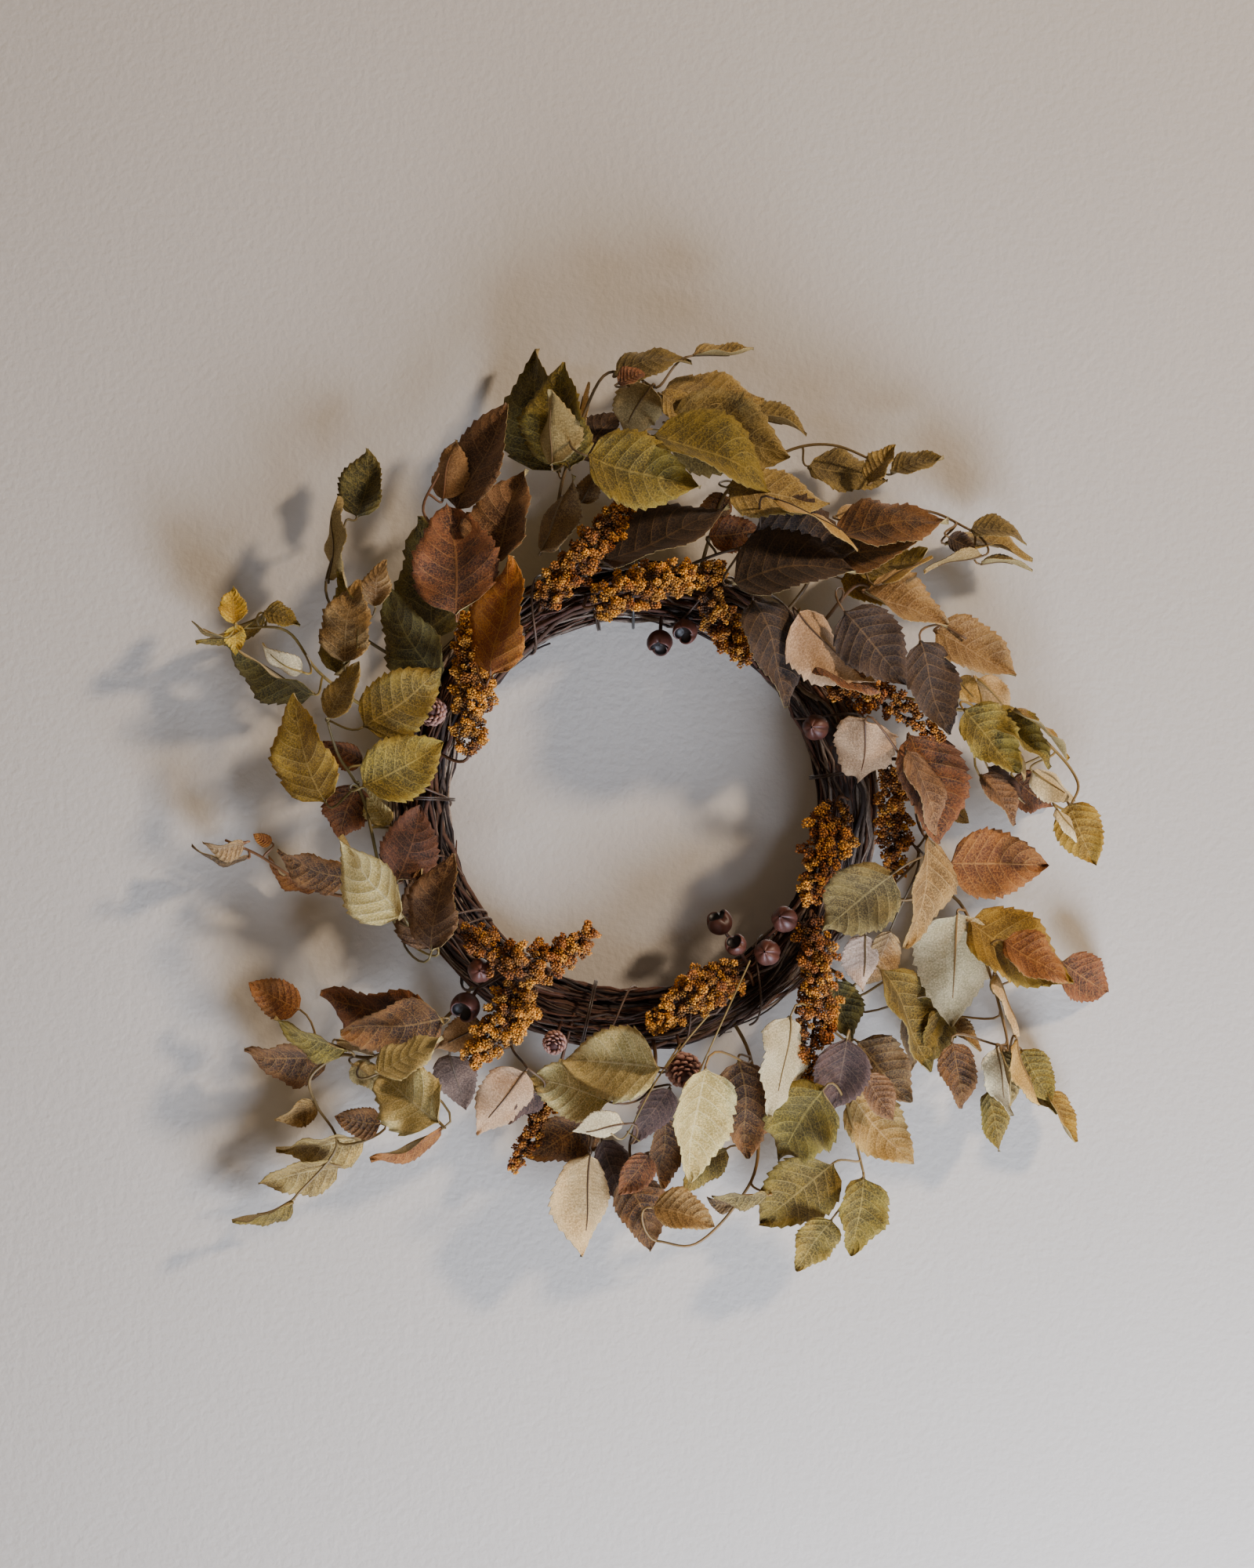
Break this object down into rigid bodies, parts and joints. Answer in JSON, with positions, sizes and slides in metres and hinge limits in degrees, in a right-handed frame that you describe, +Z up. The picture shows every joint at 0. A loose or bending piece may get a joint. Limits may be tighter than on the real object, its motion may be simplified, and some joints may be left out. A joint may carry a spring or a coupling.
{
  "type": "harvest door wreath",
  "caption": "Round autumn door wreath: a bundle of bent vine canes set with wired cloth leaf sprays, seed sprigs, round pods and small cones, with a wire loop to hang it by.",
  "frame": {"origin": "where the nail bears in the eye of the hanging loop, at the top of the wreath's back", "axes": "+Z up, -Y is the front that is looked at, +Y is to the wall, +X to the right as seen from the front"},
  "size_m": [0.5923, 0.112, 0.5923],
  "materials": {
    "vine": "matt bark",
    "vine_core": "matt bark",
    "binding_wire": "matt brown enamel",
    "hanger_wire": "satin dark enamel",
    "seed_gold": "matt, granular",
    "seed_rust": "matt, granular",
    "pod": "satin",
    "cone": "satin",
    "leaf_olive": "printed woven cloth",
    "leaf_gold": "printed woven cloth",
    "leaf_bronze": "printed woven cloth",
    "leaf_brown": "printed woven cloth",
    "leaf_rust": "printed woven cloth"
  },
  "bodies": {
    "wreath": {"vine_core": "vine_core", "vine_cane_1": "vine", "vine_cane_2": "vine", "vine_cane_3": "vine", "vine_cane_4": "vine", "vine_cane_5": "vine", "vine_cane_6": "vine", "vine_cane_7": "vine", "binding_wire_1": "binding_wire", "binding_wire_2": "binding_wire", "binding_wire_3": "binding_wire", "binding_wire_4": "binding_wire", "seed_sprig_1": "seed_rust", "seed_sprig_2": "seed_gold", "seed_sprig_3": "seed_gold", "seed_sprig_4": "seed_rust", "seed_sprig_5": "seed_rust", "seed_sprig_6": "seed_rust", "seed_sprig_7": "seed_rust", "seed_sprig_8": "seed_rust", "seed_sprig_9": "seed_gold", "seed_sprig_10": "seed_rust", "seed_sprig_11": "seed_gold", "seed_sprig_12": "seed_rust", "seed_pod_1": "pod", "seed_pod_2": "pod", "seed_pod_3": "pod", "seed_pod_4": "pod", "seed_pod_5": "pod", "seed_pod_6": "pod", "seed_pod_7": "pod", "seed_pod_8": "pod", "seed_pod_9": "pod", "cone_1": "cone", "cone_2": "cone", "cone_3": "cone", "spray_top_left": "leaf_olive", "spray_top": "leaf_bronze", "spray_top_right": "leaf_bronze", "spray_top_inner": "leaf_brown", "spray_upper_right": "leaf_brown", "spray_right_tan": "leaf_rust", "spray_right_inner": "leaf_rust", "spray_right_gold": "leaf_gold", "spray_right_rust": "leaf_rust", "spray_right_olive": "leaf_olive", "spray_outer_right": "leaf_gold", "spray_lower_right": "leaf_olive", "spray_bottom_right": "leaf_bronze", "spray_bottom": "leaf_brown", "spray_bottom_left": "leaf_brown", "spray_lower_left_inner": "leaf_rust", "spray_lower_left": "leaf_bronze", "spray_left_twig": "leaf_rust", "spray_left": "leaf_rust", "spray_upper_left": "leaf_olive", "spray_left_curl": "leaf_olive", "spray_copper": "leaf_rust"},
    "hanger": {"hanging_loop": "hanger_wire"}
  },
  "joints": [
    {"name": "hanging_loop_swing", "type": "hinge", "parent": "wreath", "child": "hanger", "pos_m": [0, -0.02069, -0.03557], "axis": [-1, 0, 0], "range_deg": [-10, 60]}
  ]
}
